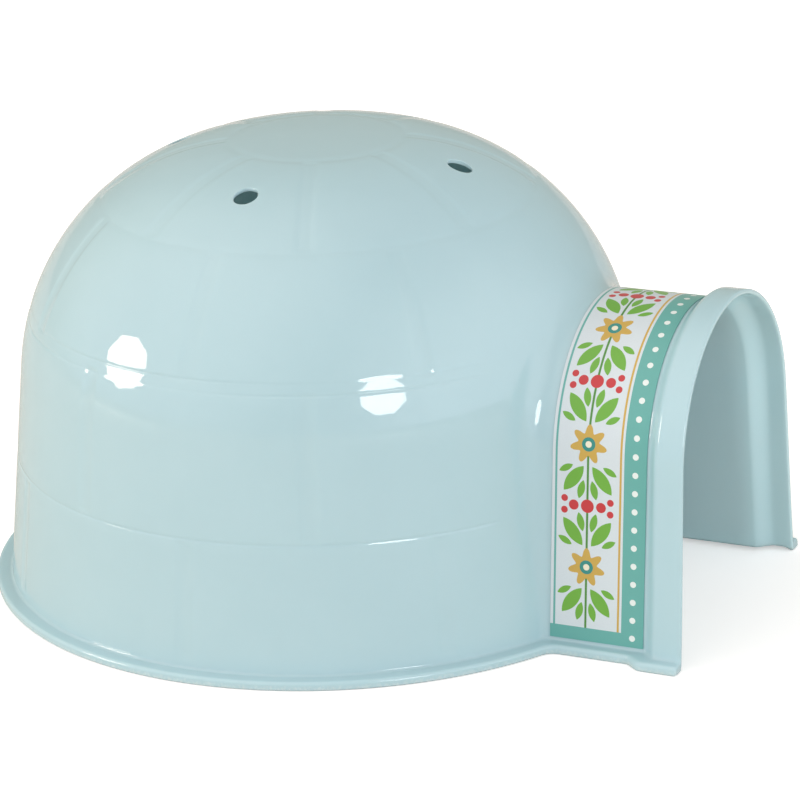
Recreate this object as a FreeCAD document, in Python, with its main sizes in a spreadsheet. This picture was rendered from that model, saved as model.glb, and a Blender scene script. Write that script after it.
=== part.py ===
# Pet igloo: a one-piece moulded dome with an arched entrance tunnel, and the printed wrap on the tunnel.
# Millimetres, +Z up. The entrance faces -Y and the origin is the middle of the footprint, on the floor.
import FreeCAD, Part
import math
import os
import Sketcher

DRIVING_SIZES = [
    # whole object
    ("overall_width", 265.0),
    ("overall_height", 170.0),
    ("front_reach", 35.0),
    ("wall", 2.5),
    # rim round the foot
    ("rim_width", 5.5),
    ("rim_height", 4.0),
    ("rim_edge_round", 1.6),
    ("rim_root_round", 1.5),
    ("rim_corner_round", 7.0),
    ("rim_step_round", 2.0),
    # dome
    ("wall_draft", 6.5),
    ("shoulder_radius", 92.6),
    ("crown_radius", 450.0),
    # entrance tunnel and its stepped-out collar
    ("tunnel_width", 115.2),
    ("tunnel_height", 119.8),
    ("tunnel_draft", 5.9),
    ("tunnel_rim_width", 4.6),
    ("junction_round", 4.0),
    ("collar_step", 4.5),
    ("collar_length", 13.6),
    ("collar_round", 2.0),
    # air vents near the top
    ("vent_diameter", 9.0),
    ("vent_circle_radius", 59.0),
    ("vent_count", 4),
    # moulded joints between the blocks
    ("relief_depth", 0.45),
    ("relief_width", 6.0),
    ("joint_angle", 3.0),
    ("joint_pitch", 45.0),
    ("top_ring_angle", 85.0),
    ("upper_ring_angle", 51.2),
    ("middle_ring_angle", 19.5),
    ("lower_ring_height", 51.5),
    ("ring_stop_angle", 4.0),
    # printed wrap
    ("label_thickness", 0.25),
    ("label_glue_gap", 0.05),
    ("label_foot_gap", 0.4),
    ("label_collar_gap", 0.5),
    ("label_dome_gap", 1.8),
    # how far cutting tools run past the faces that they cut
    ("overrun", 2.0),
]

# the entrance's front stands front_reach ahead of the dome's rim, which gives the overall length
DOME_AXIS_Y = "Sizes.front_reach / 2"
FRONT = "(Sizes.overall_width / 2 + Sizes.front_reach)"
STEP = "(" + FRONT + " - Sizes.collar_length)"
RIM_RADIUS = "Sizes.overall_width / 2"
WALL_RADIUS = "(Sizes.overall_width / 2 - Sizes.rim_width)"

document = FreeCAD.newDocument("pet_igloo")
sheet = document.addObject("Spreadsheet::Sheet", "Sizes")
for row, (alias, value) in enumerate(DRIVING_SIZES, start=1):
    sheet.set("A%d" % row, alias)
    sheet.set("B%d" % row, str(value))
    sheet.setAlias("B%d" % row, alias)
document.recompute()


def size(expression):
    """The value of an expression on the sheet, used to draw a sketch near its solution."""
    return float(sheet.evalExpression(expression))


def new_body(name, along_y):
    """A named sub-part whose local origin lies on the floor, along_y from the part's origin."""
    body = document.addObject("PartDesign::Body", name)
    body.Label = name
    body.setExpression("Placement.Base.y", along_y)
    return body


def new_sketch(body, name, role, offset="0", turn="0"):
    """A sketch on one of the body's origin planes, moved along its normal or turned about its Y axis."""
    plane = next(item for item in body.Origin.OriginFeatures if item.Role == role)
    sketch = body.newObject("Sketcher::SketchObject", name)
    sketch.AttachmentSupport = (plane, [""])
    sketch.MapMode = "FlatFace"
    turned = FreeCAD.Rotation(FreeCAD.Vector(0, 1, 0), size(turn))
    sketch.AttachmentOffset = FreeCAD.Placement(FreeCAD.Vector(0, 0, size(offset)), turned)
    if offset != "0":
        sketch.setExpression("AttachmentOffset.Base.z", offset)
    if turn != "0":
        sketch.setExpression("AttachmentOffset.Rotation.Angle", turn)
    return sketch


def hold(sketch, kind, elements, expression):
    """Adds a dimension to a sketch and binds it to the sheet."""
    value = size(expression)
    if kind == "Angle":
        value = math.radians(value)
    index = sketch.addConstraint(Sketcher.Constraint(kind, *elements, value))
    sketch.setExpression("Constraints[%d]" % index, expression)


def tie(sketch, kind, *elements):
    """Adds a geometric constraint to a sketch."""
    sketch.addConstraint(Sketcher.Constraint(kind, *elements))


def line(sketch, start, end, construction=False):
    """A straight line between two points of the sketch plane."""
    ends = [FreeCAD.Vector(point[0], point[1], 0) for point in (start, end)]
    return sketch.addGeometry(Part.LineSegment(*ends), construction)


def arc(sketch, centre, radius, start_angle, end_angle, construction=False):
    """A circular arc, anticlockwise between two angles in radians."""
    middle = FreeCAD.Vector(centre[0], centre[1], 0)
    circle = Part.Circle(middle, FreeCAD.Vector(0, 0, 1), radius)
    return sketch.addGeometry(Part.ArcOfCircle(circle, start_angle, end_angle), construction)


def feature(body, kind, name, profile, **properties):
    """A sketch-based feature of a body, with each property bound to its expression."""
    item = body.newObject("PartDesign::" + kind, name)
    item.Profile = profile
    if kind in ("Revolution", "Groove"):
        item.ReferenceAxis = (profile, ["V_Axis"])
    for key, expression in properties.items():
        if isinstance(expression, str):
            item.setExpression(key, expression)
        else:
            setattr(item, key, expression)
    profile.Visibility = False
    document.recompute()
    return item


def polar_pattern(body, name, originals, axis, count, angle):
    """Copies of some features round the dome's axis, which is an axis of their sketch."""
    item = body.newObject("PartDesign::PolarPattern", name)
    item.Originals = originals
    item.Axis = (originals[0].Profile[0], [axis])
    item.setExpression("Occurrences", count)
    item.setExpression("Angle", angle)
    body.Tip = item
    document.recompute()
    return item


def round_edges(body, name, radius, chosen):
    """A fillet on every edge of the body that passes the test."""
    base = body.Tip
    names = ["Edge%d" % (i + 1) for i, edge in enumerate(base.Shape.Edges) if chosen(edge)]
    item = body.newObject("PartDesign::Fillet", name)
    item.Base = (base, names)
    item.setExpression("Radius", radius)
    document.recompute()
    return item


def dome_points(inset):
    """Places along the dome's profile, as (radius, height), with the profile moved in by inset."""
    draft = math.radians(size("Sizes.wall_draft"))
    depth = size(inset)
    foot = size(WALL_RADIUS) - depth / math.cos(draft)
    shoulder = size("Sizes.shoulder_radius") - depth
    crown = size("Sizes.crown_radius") - depth
    top = size("Sizes.overall_height") - depth
    slope = math.tan(draft)
    reach = foot - shoulder / math.cos(draft)
    crown_height = top - crown
    half = (reach * slope + crown_height) / (1 + slope**2)
    product = (reach**2 + crown_height**2 - (crown - shoulder) ** 2) / (1 + slope**2)
    height = half + math.sqrt(half**2 - product)
    centre = (reach - height * slope, height)
    turn = math.atan2(height - crown_height, centre[0])
    return dict(foot=(foot, 0), centre=centre, shoulder=shoulder, crown=crown, draft=draft, turn=turn,
                crown_centre=(0, crown_height), top=(0, top),
                tangent=(centre[0] + shoulder * math.cos(draft), height + shoulder * math.sin(draft)))


def draw_dome(sketch, inset, construction=False):
    """The dome's profile: drafted wall, shoulder arc and crown arc, each tangent to the next."""
    at = dome_points(inset)
    wall = line(sketch, at["foot"], at["tangent"], construction)
    shoulder = arc(sketch, at["centre"], at["shoulder"], at["draft"], at["turn"], construction)
    crown = arc(sketch, at["crown_centre"], at["crown"], at["turn"], math.pi / 2, construction)
    tie(sketch, "PointOnObject", wall, 1, -1)
    tie(sketch, "Tangent", wall, 2, shoulder, 1)
    tie(sketch, "Tangent", shoulder, 2, crown, 1)
    tie(sketch, "PointOnObject", crown, 3, -2)
    tie(sketch, "PointOnObject", crown, 2, -2)
    hold(sketch, "DistanceX", (-1, 1, wall, 1), WALL_RADIUS + " - (" + inset + ") / cos(Sizes.wall_draft)")
    hold(sketch, "Angle", (wall,), "90 + Sizes.wall_draft")
    hold(sketch, "Radius", (shoulder,), "Sizes.shoulder_radius - (" + inset + ")")
    hold(sketch, "Radius", (crown,), "Sizes.crown_radius - (" + inset + ")")
    hold(sketch, "DistanceY", (-1, 1, crown, 2), "Sizes.overall_height - (" + inset + ")")
    return wall, shoulder, crown


def dome_section(body, name, inset):
    """The closed half section of the dome, moved in by inset."""
    sketch = new_sketch(body, name, "YZ_Plane")
    wall, shoulder, crown = draw_dome(sketch, inset)
    at = dome_points(inset)
    floor = line(sketch, (0, 0), at["foot"])
    axis = line(sketch, at["top"], (0, 0))
    tie(sketch, "Coincident", floor, 1, -1, 1)
    tie(sketch, "Coincident", floor, 2, wall, 1)
    tie(sketch, "Coincident", crown, 2, axis, 1)
    tie(sketch, "Coincident", axis, 2, -1, 1)
    return sketch


def shoulder_relief(body, name, low_angle, high_angle, turn="0"):
    """The section of a shallow groove in the shoulder, between two angles about the shoulder's centre."""
    sketch = new_sketch(body, name, "YZ_Plane", turn=turn)
    _, shoulder, _ = draw_dome(sketch, "Sizes.relief_depth", construction=True)
    at = dome_points("Sizes.relief_depth")
    outer_radius = "Sizes.shoulder_radius + Sizes.overrun"
    low = math.radians(size(low_angle))
    high = math.radians(size(high_angle))
    inner = arc(sketch, at["centre"], at["shoulder"], low, high)
    outer = arc(sketch, at["centre"], size(outer_radius), low, high)
    sides = []
    for angle in (low, high):
        ends = [(at["centre"][0] + reach * math.cos(angle), at["centre"][1] + reach * math.sin(angle))
                for reach in (at["shoulder"], size(outer_radius))]
        sides.append(line(sketch, *ends))
    for number, side in enumerate(sides, start=1):
        tie(sketch, "Coincident", side, 1, inner, number)
        tie(sketch, "Coincident", side, 2, outer, number)
    tie(sketch, "Coincident", inner, 3, shoulder, 3)
    tie(sketch, "Coincident", outer, 3, shoulder, 3)
    tie(sketch, "Equal", inner, shoulder)
    hold(sketch, "Radius", (outer,), outer_radius)
    hold(sketch, "Angle", (sides[0],), low_angle)
    hold(sketch, "Angle", (sides[1],), high_angle)
    return sketch


def wall_relief(body, name, low_height, high_height, turn="0"):
    """The section of a shallow groove in the drafted wall; without a high_height it runs to the shoulder."""
    sketch = new_sketch(body, name, "YZ_Plane", turn=turn)
    wall, _, _ = draw_dome(sketch, "Sizes.relief_depth", construction=True)
    at = dome_points("Sizes.relief_depth")
    outer_reach = WALL_RADIUS + " + Sizes.overrun"
    low = size(low_height)
    high = size(high_height) if high_height else at["tangent"][1]
    slope = math.tan(at["draft"])
    corners = [(at["foot"][0] - low * slope, low), (size(outer_reach), low), (size(outer_reach), high),
               (at["foot"][0] - high * slope, high)]
    sides = [line(sketch, corners[i], corners[(i + 1) % len(corners)]) for i in range(len(corners))]
    for i, side in enumerate(sides):
        tie(sketch, "Coincident", side, 2, sides[(i + 1) % len(sides)], 1)
    bottom, outside, top, _ = sides
    tie(sketch, "Horizontal", bottom)
    tie(sketch, "Vertical", outside)
    tie(sketch, "Horizontal", top)
    tie(sketch, "PointOnObject", bottom, 1, wall)
    hold(sketch, "DistanceX", (-1, 1, outside, 1), outer_reach)
    hold(sketch, "DistanceY", (-1, 1, bottom, 1), low_height)
    if high_height:
        tie(sketch, "PointOnObject", top, 2, wall)
        hold(sketch, "DistanceY", (-1, 1, top, 2), high_height)
    else:
        tie(sketch, "Coincident", top, 2, wall, 2)
    return sketch


def draw_arch(sketch, growth, foot="0"):
    """The tunnel's arch moved out by growth: two drafted legs from the foot height, tangent to a crown arc."""
    draft = math.radians(size("Sizes.tunnel_draft"))
    half_width = ("Sizes.tunnel_width / 2 + (" + growth + ") / cos(Sizes.tunnel_draft) - ("
                  + foot + ") * tan(Sizes.tunnel_draft)")
    height = "Sizes.tunnel_height + (" + growth + ")"
    base = size(foot)
    at_foot = size(half_width)
    at_floor = at_foot + base * math.tan(draft)
    top = size(height)
    radius = (at_floor * math.cos(draft) - top * math.sin(draft)) / (1 - math.sin(draft))
    centre = (0, top - radius)
    tangent = (radius * math.cos(draft), centre[1] + radius * math.sin(draft))
    right = line(sketch, (at_foot, base), tangent)
    crown = arc(sketch, centre, radius, draft, math.pi - draft)
    left = line(sketch, (-tangent[0], tangent[1]), (-at_foot, base))
    apex = sketch.addGeometry(Part.Point(FreeCAD.Vector(0, top, 0)), True)
    tie(sketch, "Tangent", right, 2, crown, 1)
    tie(sketch, "Tangent", crown, 2, left, 1)
    tie(sketch, "PointOnObject", crown, 3, -2)
    tie(sketch, "PointOnObject", apex, 1, crown)
    tie(sketch, "PointOnObject", apex, 1, -2)
    tie(sketch, "Symmetric", right, 1, left, 2, -2)
    hold(sketch, "DistanceX", (left, 2, right, 1), "2 * (" + half_width + ")")
    hold(sketch, "Angle", (right,), "90 + Sizes.tunnel_draft")
    hold(sketch, "DistanceY", (-1, 1, apex, 1), height)
    if foot == "0":
        tie(sketch, "PointOnObject", right, 1, -1)
    else:
        hold(sketch, "DistanceY", (-1, 1, right, 1), foot)
    return right, crown, left


def arch_section(body, name, growth, offset="0"):
    """The closed arch of the tunnel, moved out by growth, on a plane offset toward the entrance."""
    sketch = new_sketch(body, name, "XZ_Plane", offset=offset)
    right, _, left = draw_arch(sketch, growth)
    end = sketch.Geometry[left].EndPoint
    start = sketch.Geometry[right].StartPoint
    floor = line(sketch, (end.x, end.y), (start.x, start.y))
    tie(sketch, "Coincident", left, 2, floor, 1)
    tie(sketch, "Coincident", floor, 2, right, 1)
    return sketch


def rim_outline(body, name, inset):
    """The rim in plan, moved in by inset: the dome's circle, the tunnel's legs and the wider collar."""
    sketch = new_sketch(body, name, "XY_Plane")
    radius = RIM_RADIUS + " - (" + inset + ")"
    leg = "Sizes.tunnel_width / 2 + Sizes.tunnel_rim_width - (" + inset + ")"
    collar = leg + " + Sizes.collar_step"
    jog = "-(" + STEP + " - Sizes.tunnel_rim_width + (" + inset + "))"
    front = "-(" + FRONT + " - (" + inset + "))"
    neck = -math.acos(size(leg) / size(radius))
    right = [(size(leg), size(radius) * math.sin(neck)), (size(leg), size(jog)),
             (size(collar), size(jog)), (size(collar), size(front))]
    left = [(-x, y) for x, y in reversed(right)]
    circle = arc(sketch, (0, 0), size(radius), neck, math.pi - neck)
    # left: collar side, jog, leg; right: leg, jog, collar side; and the front between them
    left_lines = [line(sketch, left[i], left[i + 1]) for i in range(len(left) - 1)]
    right_lines = [line(sketch, right[i], right[i + 1]) for i in range(len(right) - 1)]
    front_line = line(sketch, right[-1], left[0])
    for lines in (left_lines, right_lines):
        for first, second in zip(lines, lines[1:]):
            tie(sketch, "Coincident", first, 2, second, 1)
    tie(sketch, "Coincident", right_lines[-1], 2, front_line, 1)
    tie(sketch, "Coincident", front_line, 2, left_lines[0], 1)
    tie(sketch, "Coincident", circle, 1, right_lines[0], 1)
    tie(sketch, "Coincident", circle, 2, left_lines[-1], 2)
    tie(sketch, "Coincident", circle, 3, -1, 1)
    for side in (right_lines[0], right_lines[2], left_lines[0], left_lines[2]):
        tie(sketch, "Vertical", side)
    tie(sketch, "Horizontal", right_lines[1])
    tie(sketch, "Horizontal", front_line)
    tie(sketch, "Symmetric", left_lines[1], 1, right_lines[1], 2, -2)
    tie(sketch, "Symmetric", left_lines[1], 2, right_lines[1], 1, -2)
    hold(sketch, "Radius", (circle,), radius)
    hold(sketch, "DistanceX", (-1, 1, right_lines[0], 2), leg)
    hold(sketch, "DistanceX", (-1, 1, right_lines[2], 1), collar)
    hold(sketch, "DistanceY", (-1, 1, right_lines[1], 1), jog)
    hold(sketch, "DistanceY", (-1, 1, front_line, 1), front)
    return sketch


def make_vents(body):
    """Round air vents through the crown, drilled straight down."""
    sketch = new_sketch(body, "vent_plan", "XY_Plane")
    middle = FreeCAD.Vector(0, size("Sizes.vent_circle_radius"), 0)
    radius = size("Sizes.vent_diameter / 2")
    circle = sketch.addGeometry(Part.Circle(middle, FreeCAD.Vector(0, 0, 1), radius), False)
    tie(sketch, "PointOnObject", circle, 3, -2)
    hold(sketch, "DistanceY", (-1, 1, circle, 3), "Sizes.vent_circle_radius")
    hold(sketch, "Diameter", (circle,), "Sizes.vent_diameter")
    vent = feature(body, "Pocket", "vent", sketch, Length="Sizes.overall_height", Reversed=True)
    polar_pattern(body, "vents", [vent], "N_Axis", "Sizes.vent_count", "360")


def make_relief(body):
    """Block joints moulded into the dome: four rings, and upright joints staggered from course to course."""
    half_angle = "Sizes.relief_width / Sizes.shoulder_radius * 90 / pi"
    half_width = "Sizes.relief_width / 2"
    mouth = "2 * asin(Sizes.tunnel_width / 2 / " + WALL_RADIUS + ")"
    stop = "360 deg - " + mouth + " - 2 deg * Sizes.ring_stop_angle"
    rings = [("top", "360"), ("upper", "360"), ("middle", stop)]
    for name, angle in rings:
        middle = "Sizes." + name + "_ring_angle"
        sketch = shoulder_relief(body, name + "_ring_section", middle + " - " + half_angle,
                                 middle + " + " + half_angle)
        feature(body, "Groove", name + "_ring", sketch, Angle=angle, Midplane=True)
    sketch = wall_relief(body, "lower_ring_section", "Sizes.lower_ring_height - " + half_width,
                         "Sizes.lower_ring_height + " + half_width)
    feature(body, "Groove", "lower_ring", sketch, Angle=stop, Midplane=True)

    def joint(name, section, low, high, turn):
        sketch = section(body, name + "_section", low, high, turn)
        return feature(body, "Groove", name, sketch, Angle="Sizes.joint_angle", Midplane=True)

    near_rim = "Sizes.rim_height + Sizes.rim_root_round"
    course = joint("top_joint", shoulder_relief, "Sizes.upper_ring_angle", "Sizes.top_ring_angle",
                   "Sizes.joint_pitch / 2")
    polar_pattern(body, "top_joints", [course], "V_Axis", "360 / Sizes.joint_pitch", "360")
    course = joint("upper_joint", shoulder_relief, "Sizes.middle_ring_angle", "Sizes.upper_ring_angle",
                   "-3 * Sizes.joint_pitch")
    polar_pattern(body, "upper_joints", [course], "V_Axis", "7", "6 * Sizes.joint_pitch")
    # the shoulder's part of this joint laps a little over the wall's part
    course = [joint("middle_joint_high", shoulder_relief, "Sizes.wall_draft - " + half_angle,
                    "Sizes.middle_ring_angle", "-2.5 * Sizes.joint_pitch"),
              joint("middle_joint_low", wall_relief, "Sizes.lower_ring_height", None,
                    "-2.5 * Sizes.joint_pitch")]
    polar_pattern(body, "middle_joints", course, "V_Axis", "6", "5 * Sizes.joint_pitch")
    course = joint("lower_joint", wall_relief, near_rim, "Sizes.lower_ring_height", "-3 * Sizes.joint_pitch")
    polar_pattern(body, "lower_joints", [course], "V_Axis", "7", "6 * Sizes.joint_pitch")


def rises(edge):
    """True for an edge that stands above the rim's top face."""
    return edge.BoundBox.ZMax > size("Sizes.rim_height") + size("Sizes.wall")


def make_shell():
    """The moulding: rim plate, dome, tunnel and collar, hollowed to an even wall, then vents and relief."""
    body = new_body("igloo_shell", DOME_AXIS_Y)
    rim_height = size("Sizes.rim_height")
    front = size(FRONT)
    step = size(STEP)
    tiny = size("Sizes.label_glue_gap")

    def upright(edge):
        return edge.BoundBox.ZLength > rim_height - tiny

    def at_neck(edge):
        return upright(edge) and edge.CenterOfMass.y > -step + size("Sizes.collar_length")

    def at_jog(edge):
        return upright(edge) and not at_neck(edge) and edge.CenterOfMass.y > -front + tiny

    def on_rim_edge(edge):
        box = edge.BoundBox
        return box.ZMin > rim_height - tiny and box.YMax > -front + tiny

    feature(body, "Pad", "rim", rim_outline(body, "rim_plan", "0"), Length="Sizes.rim_height")
    round_edges(body, "rim_neck_rounds", "Sizes.rim_corner_round", at_neck)
    round_edges(body, "rim_jog_rounds", "Sizes.rim_step_round", at_jog)
    round_edges(body, "rim_edge_rounds", "Sizes.rim_edge_round", on_rim_edge)
    feature(body, "Revolution", "dome", dome_section(body, "dome_profile", "0"))
    feature(body, "Pad", "tunnel", arch_section(body, "tunnel_arch", "0"), Length=FRONT)

    def on_junction(edge):
        box = edge.BoundBox
        return rises(edge) and box.YMax < 0 and box.YMin > -front + tiny and box.YLength > tiny

    def on_step(edge):
        box = edge.BoundBox
        return rises(edge) and box.YLength < tiny and abs(box.YMin + step) < tiny

    round_edges(body, "junction_round", "Sizes.junction_round", on_junction)
    collar = arch_section(body, "collar_arch", "Sizes.collar_step", STEP)
    feature(body, "Pad", "collar", collar, Length="Sizes.collar_length")
    round_edges(body, "collar_rounds", "Sizes.collar_round", on_step)

    solid = body.Tip.Shape

    def on_root(edge):
        box = edge.BoundBox
        if box.ZLength > tiny or abs(box.ZMin - rim_height) > tiny or box.YMax < -front + tiny:
            return False
        middle = edge.valueAt((edge.FirstParameter + edge.LastParameter) / 2)
        normals = []
        for face in solid.ancestorsOfType(edge, Part.Face):
            normals.append(face.normalAt(*face.Surface.parameter(middle)))
        return normals[0].getAngle(normals[1]) > math.pi / 4

    round_edges(body, "rim_root_rounds", "Sizes.rim_root_round", on_root)

    feature(body, "Groove", "cabin", dome_section(body, "cabin_profile", "Sizes.wall"))
    feature(body, "Pocket", "passage", arch_section(body, "passage_arch", "-Sizes.wall"),
            Length=FRONT + " + Sizes.overrun", Reversed=True)
    mouth = arch_section(body, "mouth_arch", "Sizes.collar_step - Sizes.wall", STEP + " + Sizes.wall")
    feature(body, "Pocket", "mouth", mouth, Length="Sizes.collar_length", Reversed=True)
    feature(body, "Pocket", "rim_recess", rim_outline(body, "recess_plan", "Sizes.wall"),
            Length="Sizes.rim_height - Sizes.wall", Reversed=True)
    make_vents(body)
    make_relief(body)
    return body


def make_label():
    """The printed wrap: a thin band over the tunnel, from foot to foot, between the dome and the collar."""
    body = new_body("tunnel_label", DOME_AXIS_Y)
    lift = "Sizes.label_glue_gap"
    foot = "Sizes.rim_height + Sizes.rim_root_round + Sizes.label_foot_gap"
    front_edge = STEP + " - Sizes.collar_round - Sizes.label_collar_gap"
    back_edge = "sqrt(" + WALL_RADIUS + "^2 - Sizes.tunnel_width^2 / 4) + Sizes.label_dome_gap"
    sketch = new_sketch(body, "wrap_section", "XZ_Plane", offset=back_edge)
    inner = draw_arch(sketch, lift, foot)
    outer = draw_arch(sketch, lift + " + Sizes.label_thickness", foot)
    for number, index in ((1, 0), (2, 2)):
        ends = [getattr(sketch.Geometry[curves[index]], "StartPoint" if number == 1 else "EndPoint")
                for curves in (inner, outer)]
        edge = line(sketch, (ends[0].x, ends[0].y), (ends[1].x, ends[1].y))
        tie(sketch, "Coincident", edge, 1, inner[index], number)
        tie(sketch, "Coincident", edge, 2, outer[index], number)
    feature(body, "Pad", "wrap", sketch, Length=front_edge + " - (" + back_edge + ")")
    return body


parts = [make_shell(), make_label()]
document.recompute()

for item in document.Objects:
    if "Invalid" in item.State or "Error" in item.State:
        raise RuntimeError("%s failed: %s" % (item.Label, item.State))
for body in parts:
    if body.Shape.isNull() or not body.Shape.isValid():
        raise RuntimeError("%s has no valid shape" % body.Label)

os.makedirs("parts", exist_ok=True)
for body in parts:
    body.Shape.exportStep(os.path.join("parts", body.Label + ".step"))
    box = body.Shape.BoundBox
    print("%s: %d solid(s), %.0f mm3, %.2f x %.2f x %.2f mm" % (
        body.Label, len(body.Shape.Solids), body.Shape.Volume, box.XLength, box.YLength, box.ZLength))
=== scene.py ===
"""Pet igloo: the moulded shell as one closed surface, the printed wrap on its tunnel, and a plain pale studio."""
import math
import bpy
import numpy as np
from mathutils import Matrix


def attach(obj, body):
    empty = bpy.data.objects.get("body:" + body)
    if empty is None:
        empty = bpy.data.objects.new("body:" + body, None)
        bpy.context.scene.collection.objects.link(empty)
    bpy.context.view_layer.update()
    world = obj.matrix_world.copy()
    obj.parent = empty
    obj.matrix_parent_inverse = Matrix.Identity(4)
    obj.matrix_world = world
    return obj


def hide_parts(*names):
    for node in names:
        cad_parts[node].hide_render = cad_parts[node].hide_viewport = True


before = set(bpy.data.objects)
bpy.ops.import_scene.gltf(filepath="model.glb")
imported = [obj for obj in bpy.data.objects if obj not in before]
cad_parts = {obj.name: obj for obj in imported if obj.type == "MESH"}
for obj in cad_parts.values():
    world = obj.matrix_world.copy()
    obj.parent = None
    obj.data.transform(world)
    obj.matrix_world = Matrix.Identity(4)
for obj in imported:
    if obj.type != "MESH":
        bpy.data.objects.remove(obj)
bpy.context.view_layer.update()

MM = 0.001
# sizes in millimetres, in a frame whose Z axis is the dome's axis and whose entrance faces -Y
DOME_AXIS_Y = 17.5
HEIGHT = 170.0
WALL = 1.8
# rim round the foot, with a recess below; corner radii at its root, edge, heel, lip, recess and inner root
RIM_RADIUS = 132.5
RIM_WIDTH = 5.5
RIM_HEIGHT = 3.3
RIM_LIP = 2.3
RIM_RECESS = 1.1
RIM_ROUNDS = (1.25, 1.3, 0.4, 0.4, 0.3, 0.4)
# dome: drafted wall, shoulder arc and crown arc
DRAFT = math.radians(6.5)
WALL_FOOT = RIM_RADIUS - RIM_WIDTH
SHOULDER = 92.6
CROWN = 450.0
# ring lines: places as angles on the shoulder and a height on the wall, then (depth, half width) of each line and
# of the wider dip round it; the ring without a line is a flat dip whose two edges are sharpened in turn
RING_ANGLES = (85.0, 51.2, 19.5)
LOWER_RING_Z = 51.5
RING_LINES = ((0.08, 1.8), (0.10, 1.4), None, (0.15, 0.55))
DIP_DEPTH, DIP_HALF = 0.08, 3.8
FLAT_DEPTH, FLAT_HALF = 0.07, 1.6
EDGE_DEPTH, EDGE_PLACE, EDGE_HALF, EDGE_TURN = 0.15, 2.2, 0.5, math.radians(79.0)
# upright joints: pitch in degrees, depth in the top course and below it, flat half width, soft side, how softly they
# end at a ring, and how far above the rim's root they end
JOINT_PITCH = 45.0
TOP_JOINT_DEPTH, JOINT_DEPTH = 0.21, 0.26
JOINT_HALF, JOINT_SIDE, JOINT_END, JOINT_FOOT = 1.5, 2.8, 2.5, 1.5
# rings and joints beside the tunnel stop so many degrees from the entrance's middle
RELIEF_STOP, RELIEF_FADE = 32, 4
# entrance tunnel and its front face
TUNNEL_HALF = 57.6
TUNNEL_TOP = 118.5
TUNNEL_DRAFT = math.radians(5.9)
TUNNEL_RIM = 4.6
FRONT_Y = -167.5
FRONT_ROUND = 0.85
FRONT_LEAN = 0.008
# collar: it steps out along a soft S, outside and inside, and its sides bulge about a height
STEP_Y = -153.9
COLLAR_STEP = 4.3
OUTER_STEP = (STEP_Y + 2.5, STEP_Y - 3.9)
INNER_STEP = (STEP_Y - WALL + 2.6, STEP_Y - WALL - 4.6)
COLLAR_BULGE, BULGE_Z, BULGE_REACH, BULGE_STEP = 1.2, 75.0, 60.0, 3.4
# rim beside the tunnel: its jog out to the collar, the end of the recess below it, and its sole behind the front
JOG_START, JOG_RUN, JOG_LEAN = STEP_Y - 2.0, 9.0, 0.15
RECESS_STOP, RECESS_RUN, RECESS_LEAST = FRONT_Y + 4.0, 3.0, 0.08
SOLE_Z, SOLE_BACK, SOLE_SLOPE, SOLE_RUN = 0.05, 0.7, 0.5, 1.2
# blend between dome and tunnel: its reach over each, which swells between two heights, then at the rim and inside
BLEND_DOME, BLEND_DOME_SWELL = 3.4, 5.6
BLEND_TUNNEL, BLEND_TUNNEL_SWELL = 2.0, 5.0
SWELL_LOW, SWELL_HIGH = 4.0, 80.0
BLEND_RIM, BLEND_INNER = 4.2, 1.3
# air vents: the rounded edges reach past the hole and sink below the face, outside and inside, and the hole flares
VENT_RADIUS = 4.5
VENT_CIRCLE = 59.0
VENT_TURNS = (-180.0, -90.0, 0.0, 90.0)
VENT_EDGE_OUT, VENT_SINK_OUT = 0.35, 0.45
VENT_EDGE_IN, VENT_SINK_IN, VENT_FLARE = 0.7, 0.35, 0.45
# dome grid: half a vent's square of cells in degrees and in millimetres, the corner of the mouth's block of cells,
# and how far the moves that fit the grid to a vent or to the mouth reach
VENT_COLUMN, VENT_ROW, VENT_FADE = 3.8, 4.2, 1.3
MOUTH_TURN, MOUTH_CORNER_Z = math.radians(24.4), 100.0
FADE_TURN, FADE_RUN = math.radians(17.0), 52.0
# printed wrap, between the dome and the collar
LABEL_BACK_Y = -114.99
LABEL_FRONT_Y = -151.4
LABEL_FOOT_Z = 4.55
LABEL_UNDER, LABEL_OVER = 0.05, 0.30
# its print: a band at each end, the garland's middle line and repeats, the border's width and the pitch of its dots
END_BAND, GARLAND_LINE, GARLAND_REPEATS, BORDER, DOT_PITCH = 5.0, 22.6, 6, 8.6, 6.8
# shell colours: two pigment tones, a paler colour for the inner faces that is painted light standing in for light
# through the thin wall, and the scuffed rim's colour
SHELL_DEEP, SHELL_PALE, SHELL_INNER_PAINTED_LIGHT, SHELL_SCUFF = "#B2D1D9", "#B8D6DE", "#C8E8EF", "#D3E2E3"
PAPER_DIM, PAPER_WHITE = "#D3DEE4", "#DBE5EA"
LEAF_INK, STEM_INK, GOLD_INK, BERRY_INK = "#6FB03C", "#4E8C3A", "#CDA94F", "#C9343A"
BORDER_INK, DOT_INK, EYE_INK, EYE_SPOT_INK = "#66AFA8", "#E9F1EE", "#2F8E86", "#F2EBD2"


def fall(x):
    """Falls smoothly from 1 at x = 0 to 0 at x = 1, and stays level beyond."""
    x = np.clip(x, 0.0, 1.0)
    return (1 - x) ** 2 * (1 + 2 * x)


def graded(marks):
    """Places from the first mark to the last; marks are (place, spacing) pairs and the spacing changes steadily."""
    runs = [np.array([marks[0][0]])]
    for (start, h0), (end, h1) in zip(marks, marks[1:]):
        count = max(1, int(round(2 * abs(end - start) / (h0 + h1))))
        t = np.arange(1, count + 1) / count
        runs.append(start + (end - start) * (2 * h0 * t + (h1 - h0) * t**2) / (h0 + h1))
    return np.concatenate(runs)


def bend(centre, radius, first, last, steps):
    """An arc's points and normals as rows (r, z, nr, nz); a negative radius has normals towards its centre."""
    a = np.linspace(first, last, steps)
    out = np.stack([np.cos(a), np.sin(a)], 1)
    return np.hstack([np.array(centre) + abs(radius) * out, np.sign(radius) * out])


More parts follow.
